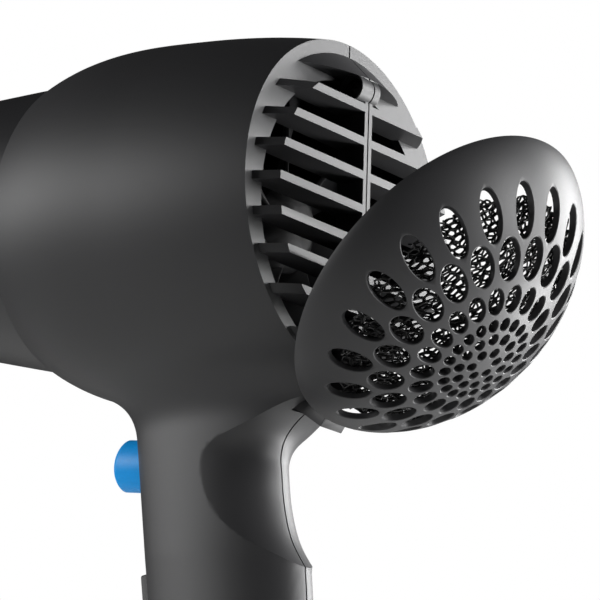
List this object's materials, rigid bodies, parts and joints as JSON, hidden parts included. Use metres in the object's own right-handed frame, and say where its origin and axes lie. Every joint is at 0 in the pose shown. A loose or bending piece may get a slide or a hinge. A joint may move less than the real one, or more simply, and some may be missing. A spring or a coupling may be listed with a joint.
{
  "type": "hair dryer",
  "caption": "Hand-held hair dryer with a split casing, tapered barrel, louvred rear inlet and a hinged perforated lint cover shown open, fan, heater and slide switches.",
  "frame": {"origin": "middle of the grip, inside the handle, where the hand holds the dryer", "axes": "-Y along the air stream towards the outlet, +Z from the handle up to the barrel, X across, normal to the seam between the casing halves"},
  "size_m": [0.091, 0.2213, 0.2329],
  "materials": {
    "shell": "satin soft-touch",
    "barrel": "satin",
    "cover": "satin",
    "foam": "open-cell filter foam",
    "blue_plastic": "glossy",
    "dark_plastic": "satin",
    "fan_plastic": "matte",
    "steel": "plated",
    "motor_steel": "zinc plated",
    "nichrome": "drawn wire",
    "mica": "pressed mica sheet",
    "board": "lacquered",
    "rubber": "matte",
    "brass": "plain"
  },
  "bodies": {
    "casing": {"left_shell": "shell", "right_shell": "shell", "front_barrel": "barrel", "outlet_grille": "dark_plastic", "heat_shield": "mica", "heater_frame": "mica", "heater_coil": "nichrome", "thermostat": "steel", "thermal_fuse": "brass", "motor_mount": "fan_plastic", "motor_cushion": "rubber", "motor": "motor_steel", "cover_hinge_pin": "steel", "cool_shot_spring": "steel", "cool_shot_switch": "dark_plastic", "switch_plate": "dark_plastic", "heat_switch_body": "dark_plastic", "speed_switch_body": "dark_plastic", "circuit_board": "board", "cord_gland": "rubber", "shell_screw_1": "steel", "shell_screw_2": "steel", "grille_screw": "steel"},
    "cover": {"lint_cover": "cover", "foam_filter": "foam"},
    "fan": {"fan_rotor": "fan_plastic", "motor_shaft": "steel"},
    "button": {"cool_shot_button": "blue_plastic"},
    "heat_slider": {"heat_switch": "dark_plastic"},
    "speed_slider": {"speed_switch": "dark_plastic"}
  },
  "joints": [
    {"name": "cover_hinge", "type": "hinge", "parent": "casing", "child": "cover", "pos_m": [0, 0.0114, 0.0613], "axis": [1, 0, 0], "range_deg": [0, 44]},
    {"name": "fan_spin", "type": "hinge", "parent": "casing", "child": "fan", "pos_m": [0, -0.004, 0.105], "axis": [0, 1, 0], "continuous": true},
    {"name": "cool_shot_push", "type": "slide", "parent": "casing", "child": "button", "axis": [0, 1, 0], "range_m": [0, 0.0025], "stiffness_N_per_m": 400},
    {"name": "heat_slide", "type": "slide", "parent": "casing", "child": "heat_slider", "axis": [0, -0.2696, 0.963], "range_m": [0, 0.005]},
    {"name": "speed_slide", "type": "slide", "parent": "casing", "child": "speed_slider", "axis": [0, -0.2696, 0.963], "range_m": [0, 0.005]}
  ]
}
